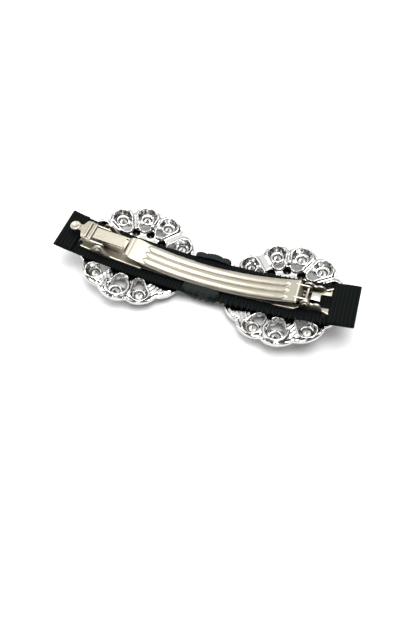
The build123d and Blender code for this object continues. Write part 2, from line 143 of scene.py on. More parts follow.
# ---- materials ------------------------------------------------------------------------------
def group(name, inputs, outputs):
    """A new shader group with its input and output nodes, or the one already made."""
    tree = bpy.data.node_groups.new(name, "ShaderNodeTree")
    for label, kind, default in inputs:
        socket = tree.interface.new_socket(label, in_out="INPUT", socket_type=kind)
        socket.default_value = default
    for label, kind in outputs:
        tree.interface.new_socket(label, in_out="OUTPUT", socket_type=kind)
    return tree, tree.nodes.new("NodeGroupInput"), tree.nodes.new("NodeGroupOutput")


def node(tree, kind, settings=(), **inputs):
    """A node with its settings, and its inputs either set or linked."""
    made = tree.nodes.new(kind)
    for key, value in settings:
        setattr(made, key, value)
    for key, value in inputs.items():
        socket = made.inputs[int(key[1:])] if key[0] == "i" and key[1:].isdigit() else made.inputs[key]
        if isinstance(value, bpy.types.NodeSocket):
            tree.links.new(value, socket)
        else:
            socket.default_value = value
    return made


def ramp(tree, value, low, high):
    """Map Range from low..high to 0..1, clamped."""
    made = node(tree, "ShaderNodeMapRange", Value=value)
    made.inputs["From Min"].default_value = low
    made.inputs["From Max"].default_value = high
    return made.outputs["Result"]


def mix(tree, factor, first, second):
    made = node(tree, "ShaderNodeMix", [("data_type", "RGBA")], i0=factor, i6=first, i7=second)
    return made.outputs[2]


def math(tree, operation, first, second=0.0):
    return node(tree, "ShaderNodeMath", [("operation", operation)], i0=first, i1=second).outputs[0]


def metal_finish_group():
    """Fine brushing and cloudy handling marks on plated metal, with a painted highlight that lightens its edges and
    painted shade that darkens its recesses and the spots near other surfaces.
    """
    name = "metal_finish"
    if name in bpy.data.node_groups:
        return bpy.data.node_groups[name]
    tree, source, result = group(
        name,
        [
            ("Color", "NodeSocketColor", (0.8, 0.8, 0.8, 1)),
            ("Grain", "NodeSocketFloat", 900.0),
            ("Stretch", "NodeSocketFloat", 0.06),
            ("Roughness", "NodeSocketFloat", 0.3),
            ("Marks", "NodeSocketFloat", 0.2),
            # strength of the painted shade in recesses
            ("Recesses", "NodeSocketFloat", 0.3),
            ("Shade", "NodeSocketFloat", 0.75),
            ("Shade Reach", "NodeSocketFloat", 0.004),
        ],
        [("Color", "NodeSocketColor"), ("Roughness", "NodeSocketFloat"), ("Height", "NodeSocketFloat")],
    )
    place = node(tree, "ShaderNodeTexCoord").outputs["Object"]
    stretch = node(tree, "ShaderNodeCombineXYZ", X=source.outputs["Stretch"], Y=1.0, Z=1.0).outputs[0]
    along = node(tree, "ShaderNodeVectorMath", [("operation", "MULTIPLY")], i0=place, i1=stretch).outputs[0]
    brushed = node(tree, "ShaderNodeTexNoise", Vector=along, Scale=source.outputs["Grain"], Detail=3.0)
    clouds = node(tree, "ShaderNodeTexNoise", Vector=place, Scale=210.0, Detail=4.0, Roughness=0.6)
    pits = node(tree, "ShaderNodeTexNoise", Vector=place, Scale=2600.0, Detail=2.0)
    bend = node(tree, "ShaderNodeNewGeometry").outputs["Pointiness"]
    # painted highlight: sharp edges are mixed towards near white
    edges = ramp(tree, bend, 0.52, 0.62)
    # painted shade: recesses found by pointiness and spots near other surfaces found by ambient occlusion darken the
    # colour almost to black
    painted_recess_shade = math(tree, "MULTIPLY", ramp(tree, bend, 0.49, 0.42), source.outputs["Recesses"])
    near = node(tree, "ShaderNodeAmbientOcclusion", [("samples", 8)], Distance=source.outputs["Shade Reach"])
    shadow = math(tree, "MULTIPLY", ramp(tree, near.outputs["AO"], 0.75, 0.15), source.outputs["Shade"])
    painted_recess_shade = math(tree, "MAXIMUM", painted_recess_shade, shadow)
    cloud = ramp(tree, clouds.outputs["Fac"], 0.35, 0.7)
    shade = math(tree, "MULTIPLY", cloud, source.outputs["Marks"])
    darker = mix(tree, 0.75, source.outputs["Color"], (0.30, 0.27, 0.21, 1))
    tinted = mix(tree, shade, source.outputs["Color"], darker)
    painted_edge_highlight = mix(tree, math(tree, "MULTIPLY", edges, 0.5), tinted, (0.97, 0.95, 0.90, 1))
    with_painted_shade = mix(tree, painted_recess_shade, painted_edge_highlight, (0.02, 0.02, 0.018, 1))
    tree.links.new(with_painted_shade, result.inputs["Color"])
    streak = math(tree, "MULTIPLY", math(tree, "SUBTRACT", brushed.outputs["Fac"], 0.5), 0.35)
    rough = math(tree, "ADD", source.outputs["Roughness"], streak)
    rough = math(tree, "ADD", rough, math(tree, "MULTIPLY", shade, 0.35))
    tree.links.new(rough, result.inputs["Roughness"])
    height = math(tree, "ADD", brushed.outputs["Fac"], math(tree, "MULTIPLY", pits.outputs["Fac"], 0.4))
    tree.links.new(height, result.inputs["Height"])
    return tree


def weave_group():
    """Crossed threads with lint, for ribbon, cloth and thread. UV is in millimetres."""
    name = "thread_weave"
    if name in bpy.data.node_groups:
        return bpy.data.node_groups[name]
    tree, source, result = group(
        name,
        [
            ("Color", "NodeSocketColor", (0.01, 0.01, 0.01, 1)),
            ("Sheen Color", "NodeSocketColor", (0.05, 0.06, 0.06, 1)),
            ("Threads", "NodeSocketFloat", 4.0),
            ("Lint", "NodeSocketFloat", 0.3),
            # strength of the painted highlight on the rib crests
            ("Ribs", "NodeSocketFloat", 0.0),
            ("Rib Pitch", "NodeSocketFloat", 1.2),
        ],
        [("Color", "NodeSocketColor"), ("Roughness", "NodeSocketFloat"), ("Height", "NodeSocketFloat")],
    )
    uv = node(tree, "ShaderNodeUVMap", [("uv_map", "cloth")]).outputs["UV"]
    place = node(tree, "ShaderNodeTexCoord").outputs["Object"]
    warp = node(tree, "ShaderNodeTexWave", [("bands_direction", "Y")], Vector=uv, Scale=source.outputs["Threads"])
    weft = node(tree, "ShaderNodeTexWave", [("bands_direction", "X")], Vector=uv, Scale=source.outputs["Threads"])
    for wave in (warp, weft):
        wave.inputs["Distortion"].default_value = 0.6
    threads = math(tree, "MAXIMUM", warp.outputs["Fac"], weft.outputs["Fac"])
    lint = node(tree, "ShaderNodeTexNoise", Vector=place, Scale=1400.0, Detail=5.0, Roughness=0.7)
    folds = node(tree, "ShaderNodeTexNoise", Vector=place, Scale=260.0, Detail=3.0)
    specks = math(tree, "MULTIPLY", ramp(tree, lint.outputs["Fac"], 0.58, 0.8), source.outputs["Lint"])
    lit = mix(tree, math(tree, "MULTIPLY", threads, 0.45), source.outputs["Color"], source.outputs["Sheen Color"])
    lit = mix(tree, math(tree, "MULTIPLY", ramp(tree, folds.outputs["Fac"], 0.4, 0.7), 0.35), lit, source.outputs["Color"])
    # painted highlight: the crest of each ribbon rib is lightened
    run = node(tree, "ShaderNodeSeparateXYZ", Vector=uv).outputs["X"]
    crest = math(tree, "PINGPONG", math(tree, "DIVIDE", run, source.outputs["Rib Pitch"]), 0.5)
    crest = math(tree, "MULTIPLY", ramp(tree, crest, 0.22, 0.5), source.outputs["Ribs"])
    lit = mix(tree, crest, lit, (0.0062, 0.0095, 0.0088, 1))
    lit = mix(tree, specks, lit, (0.035, 0.04, 0.04, 1))
    tree.links.new(lit, result.inputs["Color"])
    rough = math(tree, "ADD", 0.62, math(tree, "MULTIPLY", lint.outputs["Fac"], 0.3))
    tree.links.new(rough, result.inputs["Roughness"])
    height = math(tree, "ADD", threads, math(tree, "MULTIPLY", lint.outputs["Fac"], 0.6))
    tree.links.new(height, result.inputs["Height"])
    return tree


def shaded(name, made_group, values, bump, bump_distance, **constants):
    """A material whose colour, roughness and bump come from a group placed with its own values."""
    if name in bpy.data.materials:
        return bpy.data.materials[name]
    material = bpy.data.materials.new(name)
    material.use_nodes = True
    tree = material.node_tree
    shader = tree.nodes["Principled BSDF"]
    placed = node(tree, "ShaderNodeGroup", [("node_tree", made_group)], **values)
    tree.links.new(placed.outputs["Color"], shader.inputs["Base Color"])
    tree.links.new(placed.outputs["Roughness"], shader.inputs["Roughness"])
    relief = node(tree, "ShaderNodeBump", Strength=bump, Distance=bump_distance, Height=placed.outputs["Height"])
    tree.links.new(relief.outputs["Normal"], shader.inputs["Normal"])
    for key, value in constants.items():
        shader.inputs[key.replace("_", " ")].default_value = value
    return material


def opaque(rgb):
    return (*rgb, 1.0)


def nickel_sheet():
    colours = bpy.context.scene.clip_colours
    values = {"Color": opaque(colours.nickel), "Grain": 2200.0, "Stretch": 0.05, "Roughness": 0.3, "Marks": 0.35}
    return shaded("nickel_sheet", metal_finish_group(), values, 0.12, 0.00004, Metallic=1.0)


def bright_nickel():
    colours = bpy.context.scene.clip_colours
    values = {"Color": opaque(colours.nickel), "Grain": 1500.0, "Stretch": 0.3, "Roughness": 0.16, "Marks": 0.25}
    return shaded("bright_nickel", metal_finish_group(), values, 0.08, 0.00003, Metallic=1.0)


def silver_casting():
    colours = bpy.context.scene.clip_colours
    # painted shade: strong dark recesses and dark spots near other surfaces
    values = {"Color": opaque(colours.silver), "Grain": 700.0, "Stretch": 1.0, "Roughness": 0.07, "Marks": 0.12, "Recesses": 1.0, "Shade": 0.9, "Shade Reach": 0.003}
    return shaded("silver_casting", metal_finish_group(), values, 0.25, 0.00006, Metallic=1.0)


def stone_foil():
    colours = bpy.context.scene.clip_colours
    values = {"Color": opaque(colours.foil), "Grain": 3000.0, "Stretch": 1.0, "Roughness": 0.22, "Marks": 0.6}
    return shaded("stone_foil", metal_finish_group(), values, 0.1, 0.00002, Metallic=1.0)


def grosgrain():
    colours = bpy.context.scene.clip_colours
    # painted highlight on the crest of each rib
    values = {"Color": opaque(colours.ribbon), "Sheen Color": (0.003, 0.0045, 0.0042, 1), "Threads": 2.4, "Lint": 0.06, "Ribs": 0.75, "Rib Pitch": 1.2}
    return shaded("grosgrain", weave_group(), values, 0.5, 0.00005, Sheen_Weight=0.0, Specular_IOR_Level=0.08)


def knot_satin():
    colours = bpy.context.scene.clip_colours
    values = {"Color": opaque(colours.cloth), "Sheen Color": (0.009, 0.016, 0.0145, 1), "Threads": 3.6, "Lint": 0.05}
    return shaded("knot_satin", weave_group(), values, 0.35, 0.00004, Sheen_Weight=0.05, Specular_IOR_Level=0.25)


def sewing_thread():
    colours = bpy.context.scene.clip_colours
    values = {"Color": opaque(colours.thread), "Sheen Color": (0.012, 0.015, 0.015, 1), "Threads": 6.0, "Lint": 0.12}
    return shaded("sewing_thread", weave_group(), values, 0.3, 0.00003, Sheen_Weight=0.03, Specular_IOR_Level=0.15)


def black_felt():
    colours = bpy.context.scene.clip_colours
    values = {"Color": opaque(colours.felt), "Sheen Color": (0.008, 0.009, 0.009, 1), "Threads": 1.2, "Lint": 0.25}
    return shaded("black_felt", weave_group(), values, 0.8, 0.0001, Sheen_Weight=0.03, Specular_IOR_Level=0.1)


def cut_glass():
    """Clear glass with faint dust on its facets."""
    name = "cut_glass"
    if name in bpy.data.materials:
        return bpy.data.materials[name]
    material = bpy.data.materials.new(name)
    material.use_nodes = True
    tree = material.node_tree
    shader = tree.nodes["Principled BSDF"]
    place = node(tree, "ShaderNodeTexCoord").outputs["Object"]
    dust = node(tree, "ShaderNodeTexNoise", Vector=place, Scale=900.0, Detail=4.0)
    haze = math(tree, "MULTIPLY", ramp(tree, dust.outputs["Fac"], 0.55, 0.8), 0.12)
    tree.links.new(math(tree, "ADD", haze, 0.01), shader.inputs["Roughness"])
    tint = mix(tree, haze, opaque(bpy.context.scene.clip_colours.stone), (0.85, 0.88, 0.9, 1))
    tree.links.new(tint, shader.inputs["Base Color"])
    shader.inputs["Transmission Weight"].default_value = 1.0
    shader.inputs["IOR"].default_value = 1.56
    return material


# ---- mesh helpers ---------------------------------------------------------------------------
def piece_from(bm, name, material, smooth_angle=40.0):
    """Turns a bmesh in millimetres into an object at the origin, in metres."""
    bmesh.ops.recalc_face_normals(bm, faces=bm.faces)
    mesh = bpy.data.meshes.new(name)
    bm.to_mesh(mesh)
    bm.free()
    mesh.transform(Matrix.Scale(MM, 4))
    mesh.shade_smooth()
    mesh.set_sharp_from_angle(angle=radians(smooth_angle))
    made = bpy.data.objects.new(name, mesh)
    bpy.context.scene.collection.objects.link(made)
    mesh.materials.append(material)
    return made


def settle(piece, body, slot, *replaced):
    """Hangs the piece on the empty of the body it rides on and hides the CAD nodes that it stands for. The slot is
    not used.
    """
    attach(piece, body)
    if replaced:
        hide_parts(*replaced)
    return piece


def apply_modifiers(piece):
    """Puts the modifiers' result into the piece's own mesh."""
    bpy.context.view_layer.update()
    graph = bpy.context.evaluated_depsgraph_get()
    done = bpy.data.meshes.new_from_object(piece.evaluated_get(graph))
    piece.modifiers.clear()
    piece.data = done
    return piece


def sheet_grid(bm, columns, rows, place, uv_place=None):
    """A grid whose points are moved to place(a, b), with a and b from -1 to 1. Returns its vertices."""
    made = bmesh.ops.create_grid(bm, x_segments=columns, y_segments=rows, size=1.0)
    layer = bm.loops.layers.uv.get("cloth") or bm.loops.layers.uv.new("cloth")
    spots = {v: (v.co.x, v.co.y) for v in made["verts"]}
    if uv_place:
        for face in {f for v in made["verts"] for f in v.link_faces}:
            for loop in face.loops:
                loop[layer].uv = uv_place(*spots[loop.vert])
    for vertex, (a, b) in spots.items():
        vertex.co = place(a, b)
    return made["verts"]


def lathe(bm, profile, matrix, steps=32, closed=False):
    """Spins a profile of (radius, height) points about the local upright axis."""
    ring = [bm.verts.new((r, 0, h)) for r, h in profile]
    pairs = list(zip(ring, ring[1:])) + ([(ring[-1], ring[0])] if closed else [])
    edges = [bm.edges.new(pair) for pair in pairs]
    spun = bmesh.ops.spin(
        bm, geom=ring + edges, cent=(0, 0, 0), axis=(0, 0, 1), angle=2 * pi, steps=steps, use_merge=True
    )
    verts = set(ring) | {g for g in spun["geom_last"] if isinstance(g, bmesh.types.BMVert)}
    verts |= {v for v in bm.verts if v.index == -1}
    linked = list(ring)
    seen = set(linked)
    while linked:
        for edge in linked.pop().link_edges:
            for vertex in edge.verts:
                if vertex not in seen:
                    seen.add(vertex)
                    linked.append(vertex)
    bmesh.ops.remove_doubles(bm, verts=list(seen), dist=1e-5)
    alive = [v for v in seen if v.is_valid]
    bmesh.ops.transform(bm, matrix=matrix, verts=alive)
    return alive


def wire(bm, points, radii, depth, cyclic=False, flat=1.0):
    """Adds a round wire along a smooth curve through control points, with a radius factor at each."""
    data = bpy.data.curves.new("wire", "CURVE")
    data.dimensions = "3D"
    data.bevel_depth = depth
    data.bevel_resolution = 2
    data.use_fill_caps = True
    data.resolution_u = 6
    spline = data.splines.new("NURBS")
    spline.points.add(len(points) - 1)
    for point, spot, radius in zip(spline.points, points, radii):
        point.co = (*spot, 1.0)
        point.radius = radius
    spline.use_cyclic_u = cyclic
    spline.order_u = 4
    spline.use_endpoint_u = not cyclic
    holder = bpy.data.objects.new("wire", data)
    mesh = bpy.data.meshes.new_from_object(holder)
    bm.from_mesh(mesh)
    bpy.data.objects.remove(holder)
    bpy.data.curves.remove(data)
    bpy.data.meshes.remove(mesh)


def softened_copy(name, width, segments=2, angle=28.0):
    """A copy of a CAD node with its sharp edges rounded, in millimetres."""
    bm = bmesh.new()
    bm.from_mesh(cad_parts[name].data)
    bmesh.ops.scale(bm, vec=(1 / MM, 1 / MM, 1 / MM), verts=bm.verts)
    bmesh.ops.remove_doubles(bm, verts=bm.verts, dist=0.002)
    bmesh.ops.dissolve_limit(bm, angle_limit=radians(0.3), verts=bm.verts, edges=bm.edges)
    sharp = [e for e in bm.edges if len(e.link_faces) == 2 and e.calc_face_angle(0) > radians(angle)]
    bmesh.ops.bevel(
        bm, geom=sharp, offset=width, offset_type="OFFSET", segments=segments, profile=0.5,
        affect="EDGES", clamp_overlap=True, material=-1,
    )
    return bm


# ---- ribbon ---------------------------------------------------------------------------------
FLAP_EDGE = {-1: 46.4, 1: 44.2}   # where each folded end stops
MAIN_DEPTH = -0.28                # middle of the main run, below the ribbon's back face
FLAP_RISE = {-1: 0.52, 1: 0.86}   # middle of each flap's edge, above the ribbon's back face
FOLD_X = RIBBON_HALF - 0.72


def ribbon_route():
    """Stretches of the ribbon's own length: left flap, left fold, main run, right fold, right flap."""
    fold = pi * 0.42
    return (FOLD_X - FLAP_EDGE[-1], fold, 2 * FOLD_X, fold, FOLD_X - FLAP_EDGE[1])


def offset_spot(x, offset):
    """Point at an offset from the ribbon's back face, square to it."""
    slope = x / sqrt(BOW_RADIUS**2 - x * x)
    tilt = atan(slope)
    return (x - sin(tilt) * offset, ribbon_z(x) + cos(tilt) * offset)


def ribbon_spot(run):
    """(x, z) of the ribbon's middle surface at a distance along it."""
    left_flap, fold, main, _, right_flap = ribbon_route()
    for side, start, flap in ((-1, 0.0, left_flap), (1, left_flap + 2 * fold + main, right_flap)):
        if start <= run <= start + flap:
            share = (run - start) / flap
            share = 1 - share if side < 0 else share
            x = side * (FOLD_X - share * flap)
            return offset_spot(x, 0.56 + (FLAP_RISE[side] - 0.56) * ease(share * 1.6))
    for side, start in ((-1, left_flap), (1, left_flap + fold + main)):
        if start <= run <= start + fold:
            turn = (run - start) / fold * pi
            turn = pi - turn if side < 0 else turn
            x, z = offset_spot(side * FOLD_X, 0.14 - 0.42 * cos(turn))
            return (x + side * 0.42 * sin(turn) * 1.1, z)
    return offset_spot(-FOLD_X + run - left_flap - fold, MAIN_DEPTH)


class HAIRCLIP_OT_ribbon(Operator):
    """Adds the grosgrain ribbon, its ribs and its two folded ends"""

    bl_idname = "hairclip.ribbon"
    bl_label = "Grosgrain ribbon"

    def execute(self, context):
        sizes = context.scene.clip_sizes
        pitch = sizes.rib_pitch / MM
        total = sum(ribbon_route())
        half_width = 7.85
        samples = 6
        columns = int(total / pitch * samples)

        def rib(run):
            return abs(sin(pi * run / pitch)) ** 0.7

        def place(a, b):
            run = (a + 1) / 2 * total
            x, z = ribbon_spot(run)
            sewn = ease((x - 4) / 6) * (1 - ease((x - 43) / 3))
            rough = noise.noise(Vector((run * 0.9, b * 5, 3.1))) * 0.28 * sewn + noise.noise(Vector((run * 0.25, b, 9))) * 0.12
            y = CLIP_Y + b * (half_width + 0.05 * rib(run)) + (rough if abs(b) > 0.93 else 0.0) * (1 if b > 0 else -1)
            puff = 0.05 * noise.noise(Vector((x * 0.16, b * 1.3, 0.7)))
            return (x, y, z + puff)

        bm = bmesh.new()
        verts = sheet_grid(bm, columns, 22, place, lambda a, b: ((a + 1) / 2 * total, b * half_width))
        runs = {}
        bm.verts.index_update()
        piece_columns = {}
        for v in verts:
            piece_columns.setdefault(v.index % (columns + 1), []).append(v.index)
        for column, members in piece_columns.items():
            for index in members:
                runs[index] = rib(column / columns * total)
        piece = piece_from(bm, "grosgrain_ribbon", grosgrain(), 60)
        ribs = piece.vertex_groups.new(name="ribs")
        for index, weight in runs.items():
            ribs.add([index], weight, "REPLACE")
        solid = piece.modifiers.new("cloth", "SOLIDIFY")
        solid.thickness = sizes.ribbon_sheet
        solid.offset = 0.0
        solid.vertex_group = "ribs"
        solid.thickness_vertex_group = 0.5
        apply_modifiers(piece)
        settle(piece, "base", "black_ribbon", "ribbon_band")
        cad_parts["band_stiffener"].data.materials.clear()
        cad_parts["band_stiffener"].data.materials.append(black_felt())
        return {"FINISHED"}


# ---- centre knot ----------------------------------------------------------------------------
KNOT_X = (-5.3, 7.3)
KNOT_Y = (-9.6, 9.0)
KNOT_TOP = 5.35
KNOT_FRONT = 1.2
KNOT_OPEN = 5.0                  # half width left open for the clip


class HAIRCLIP_OT_knot(Operator):
    """Adds the gathered cloth knot round the middle of the ribbon"""

    bl_idname = "hairclip.knot"
    bl_label = "Gathered knot"

    def execute(self, context):
        sizes = context.scene.clip_sizes
        mid_x = sum(KNOT_X) / 2
        half_x = (KNOT_X[1] - KNOT_X[0]) / 2
        mid_y = sum(KNOT_Y) / 2
        half_y = (KNOT_Y[1] - KNOT_Y[0]) / 2
        mid_z = (KNOT_TOP + KNOT_FRONT) / 2
        half_z = (KNOT_TOP - KNOT_FRONT) / 2
        open_angle = atan2(half_z, KNOT_OPEN + 1.0)

        def loop_spot(turn):
            """Point and outward direction of the wrap's section, in the y-z plane."""
            c, s = cos(turn), sin(turn)
            power = 0.78
            y = mid_y + half_y * (abs(c) ** power) * (1 if c > 0 else -1)
            z = mid_z + half_z * (abs(s) ** power) * (1 if s > 0 else -1)
            return y, z, c, s

        def folds(turn, b):
            far = ease((cos(turn) - 0.2) * 1.6)
            near = ease((-cos(turn) - 0.2) * 1.6)
            front = ease((-sin(turn) - 0.1) * 1.4)
            wander = 0.35 * sin(turn * 2.3 + 1.0)
            two = 1 - abs(sin(pi * (b * 1.0 + 0.5 + 0.06 * wander))) ** 0.6
            gathers = abs(sin(pi * (b * 2.6 + wander))) ** 0.7
            fine = abs(sin(pi * (b * 5.2 - 0.7 * wander + 0.3)))
            lumps = noise.noise(Vector((b * 2.4, turn * 1.7, 4.0)))
            return (
                -0.95 * far * two + 0.75 * near * gathers + 0.6 * front * gathers + 0.2 * fine + 0.6 * lumps * (near + front)
            )

        def place(a, b):
            turn = pi / 2 - (a * (pi - 0.42))
            turn = pi / 2 + (a * (pi - 0.62)) + pi
            y, z, c, s = loop_spot(turn)
            ends = sqrt(max(0.0, 1 - abs(b) ** 3.2))
            swell = folds(turn, b) * 0.75 - 1.5 * (1 - ends)
            front = ease(-s * 1.3)
            width = half_x * (1 - 0.34 * front * ease((9.3 - abs(y - CLIP_Y)) / 2.5))
            x = mid_x + b * width + 0.25 * sin(turn * 3) * (1 - abs(b))
            y += c * swell * 0.95
            z += s * swell * 0.6
            top = ease((s - 0.25) * 3)
            z = z * (1 - top) + (ribbon_z(x) + 0.42 + 0.45 * ends + 0.25 * folds(turn, b)) * top
            return (x, y, max(z, 0.25))

        def uv_place(a, b):
            return (a * 22.0, b * half_x)

        bm = bmesh.new()
        sheet_grid(bm, 150, 70, place, uv_place)
        piece = piece_from(bm, "gathered_knot", knot_satin(), 80)
        solid = piece.modifiers.new("cloth", "SOLIDIFY")
        solid.thickness = sizes.cloth_sheet
        solid.offset = 0.0
        apply_modifiers(piece)
        settle(piece, "base", "knot_cloth", "centre_knot")
        return {"FINISHED"}


# ---- thread ---------------------------------------------------------------------------------
class HAIRCLIP_OT_thread(Operator):
    """Adds the hand stitches on the ribbon's edges and the ties over the bar's ends"""

    bl_idname = "hairclip.thread"
    bl_label = "Hand stitches"

    def execute(self, context):
        sizes = context.scene.clip_sizes
        radius = sizes.thread_radius / MM
        pitch = sizes.stitch_pitch / MM
        dice = random.Random(7)
        bm = bmesh.new()
        for side in (1, -1):
            x = 9.0
            while x < 43.5:
                lean = dice.uniform(-0.45, 0.45)
                edge = CLIP_Y + side * 8.05
                top = ribbon_z(x)
                points = [
                    (x - lean, edge - side * dice.uniform(0.9, 1.5), top + 0.1),
                    (x - 0.5 * lean, edge - side * 0.3, top + 0.32),
                    (x, edge + side * 0.25, top + 0.05),
                    (x + 0.3 * lean, edge + side * 0.25, top - 0.6),
                    (x + lean, edge - side * 0.6, top - 1.0),
                ]
                wire(bm, points, [1, 1, 1, 1, 1], radius)
                x += pitch * dice.uniform(0.7, 1.35)
        stitches = piece_from(bm, "edge_stitch_thread", sewing_thread(), 60)
        settle(stitches, "base", "black_thread", "edge_stitches")

        bm = bmesh.new()
        for side in (1, -1):
            for x, reach in ((-44.6, 3.0), (42.9, 4.3)):
                for turn in range(3):
                    along = x + (turn - 1) * 0.36
                    top = ribbon_z(along)
                    points = [
                        (along, CLIP_Y + side * (reach - 0.3), top + 0.75),
                        (along + dice.uniform(-0.2, 0.2), CLIP_Y + side * (reach + 0.5), top + 1.0),
                        (along + dice.uniform(-0.2, 0.2), CLIP_Y + side * (reach + 1.2), top + 0.7),
                        (along, CLIP_Y + side * (reach + 1.9), top + 0.1),
                    ]
                    wire(bm, points, [1, 1, 1, 1], radius)
        ties = piece_from(bm, "bar_tie_thread", sewing_thread(), 60)
        settle(ties, "base", "black_thread", "bar_ties")
        return {"FINISHED"}


# ---- steel clip -----------------------------------------------------------------------------
class HAIRCLIP_OT_base(Operator):
    """Adds the base bar, the pins, the tension leaf and the lever's spring"""

    bl_idname = "hairclip.base"
    bl_label = "Base bar, pins and springs"

    def execute(self, context):
        width = context.scene.clip_sizes.edge_round / MM
        for name, source, body, finish, slot in (
            ("pressed_base_bar", "base_bar", "base", nickel_sheet, "nickel_steel"),
            ("lever_pin_rivet", "lever_pin", "base", bright_nickel, "nickel_steel"),
            ("hinge_pin_rivet", "hinge_pin", "base", bright_nickel, "nickel_steel"),
            ("lever_spring_strip", "lever_spring", "base", nickel_sheet, "spring_steel"),
            ("hooked_tension_leaf", "tension_leaf", "leaf", bright_nickel, "spring_steel"),
        ):
            bm = softened_copy(source, width)
            piece = piece_from(bm, name, finish(), 35)
            settle(piece, body, slot, source)
            if source == "lever_spring":
                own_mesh(piece)
        return {"FINISHED"}


class HAIRCLIP_OT_arm(Operator):
    """Adds the long arm with its three pressed ribs and its hinge lugs"""

    bl_idname = "hairclip.arm"
    bl_label = "Ribbed arm"

    def execute(self, context):
        sizes = context.scene.clip_sizes
        rib_height = sizes.rib_height / MM
        left, right = -28.4, 33.25
        rib_left, rib_right = -21.5, 30.2
        half_width = 4.4
        rib_pitch = 2.68
        sheet = 0.45

        def half_at(x):
            tip = ease((x - left) / 3.4)
            return 3.35 + (half_width - 3.35) * tip

        def pressed(x, y):
            """Height of the ribs: three rounded ridges that end in rounded noses."""
            index = round(y / rib_pitch)
            if abs(index) > 1:
                return 0.0
            across = (y - index * rib_pitch) / (rib_pitch / 2)
            nose = 1.3 * across * across
            ends = ease((x - rib_left - nose) / 1.1) * ease((rib_right - nose - x) / 1.1)
            return rib_height * ends * max(0.0, cos(pi / 2 * across)) ** 0.8

        def place(a, b):
            x = left + (a + 1) / 2 * (right - left)
            y = b * half_at(x)
            edge = max(0.0, abs(b) * half_width - (half_width - 0.5)) / 0.5
            lip = 0.42 * edge * edge * ease((x - rib_left + 2) / 3)
            tip_drop = 0.75 * (1 - ease((x - left) / 1.5)) ** 2
            corner = 0.55 * max(0.0, abs(b) - 0.55) ** 2 * (1 - ease((x - left) / 1.2))
            crease = 0.12 * exp(-(((x - left - 1.7) / 0.35) ** 2))
            z = arm_z(x) + pressed(x, y) - lip - tip_drop - corner + crease - sheet / 2
            roll = 0.35 * max(0.0, (x - right + 0.6) / 0.6) ** 2
            return (x, CLIP_Y + y, z - roll)

        bm = bmesh.new()
        sheet_grid(bm, 260, 84, place)
        piece = piece_from(bm, "ribbed_arm", nickel_sheet(), 60)
        solid = piece.modifiers.new("sheet", "SOLIDIFY")
        solid.thickness = sheet * MM
        solid.offset = 0.0
        rounding = piece.modifiers.new("edges", "BEVEL")
        rounding.width = sizes.edge_round
        rounding.segments = 2
        rounding.limit_method = "ANGLE"
        rounding.angle_limit = radians(50)
        apply_modifiers(piece)

        # down-turned flange and hinge lugs, bent from the same sheet
        bm = bmesh.new()
        bm.from_mesh(piece.data)
        bmesh.ops.scale(bm, vec=(1 / MM, 1 / MM, 1 / MM), verts=bm.verts)
        flange_top = arm_z(right) - 0.15
        self.flange(bm, right - 0.25, flange_top - 0.05, half_width - 0.3)
        hinge_x, hinge_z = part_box("hinge_pin")[0].x / MM + 0.95, (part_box("hinge_pin")[0].z / MM + 0.95)
        for side in (1, -1):
            outline = [(right - 1.5, flange_top - 0.1), (right, flange_top - 0.05)]
            outline += [
                (hinge_x + 1.2 * cos(t), hinge_z + 1.2 * sin(t)) for t in (radians(90 - 30 * i) for i in range(10))
            ]
            outline += [(right - 1.5, hinge_z - 0.6)]
            self.plate(bm, outline, side * 2.6, 0.25)
        data = piece.data
        piece.name = "arm_blank"
        made = piece_from(bm, "ribbed_spring_arm", nickel_sheet(), 38)
        bpy.data.objects.remove(piece)
        bpy.data.meshes.remove(data)
        settle(made, "arm", "nickel_steel", "clip_arm")
        return {"FINISHED"}

    @staticmethod
    def flange(bm, x, z, half):
        """The arm's end, bent down over the hinge pin and narrowing towards it."""
        rows = ((0.0, 0.0, 1.0), (0.35, -0.12, 0.99), (0.9, -0.62, 0.84), (1.45, -1.12, 0.72), (1.75, -1.45, 0.70))
        before = set(bm.faces)
        previous = None
        for dx, dz, share in rows:
            row = [bm.verts.new((x + dx, CLIP_Y + half * share * t / 8, z + dz - 0.1 * (t / 8) ** 4)) for t in range(-8, 9)]
            if previous:
                for a, b, c, d in zip(previous, previous[1:], row[1:], row):
                    bm.faces.new((a, b, c, d))
            previous = row
        made = [f for f in bm.faces if f not in before]
        bmesh.ops.recalc_face_normals(bm, faces=made)
        bmesh.ops.solidify(bm, geom=made, thickness=0.4)

    @staticmethod
    def plate(bm, outline, y, half):
        """An upright plate of the given side view, centred on y, with small rounded edges."""
        verts = [bm.verts.new((x, CLIP_Y + y - half, z)) for x, z in outline]
        face = bm.faces.new(verts)
        grown = bmesh.ops.extrude_face_region(bm, geom=[face])
        moved = [g for g in grown["geom"] if isinstance(g, bmesh.types.BMVert)]
        bmesh.ops.translate(bm, vec=(0, 2 * half, 0), verts=moved)
        every = set(verts) | set(moved)
        edges = {e for v in every for e in v.link_edges if e.other_vert(v) in every}
        bmesh.ops.bevel(
            bm, geom=list(edges), offset=0.07, offset_type="OFFSET", segments=2, profile=0.5,
            affect="EDGES", clamp_overlap=True, material=-1,
        )


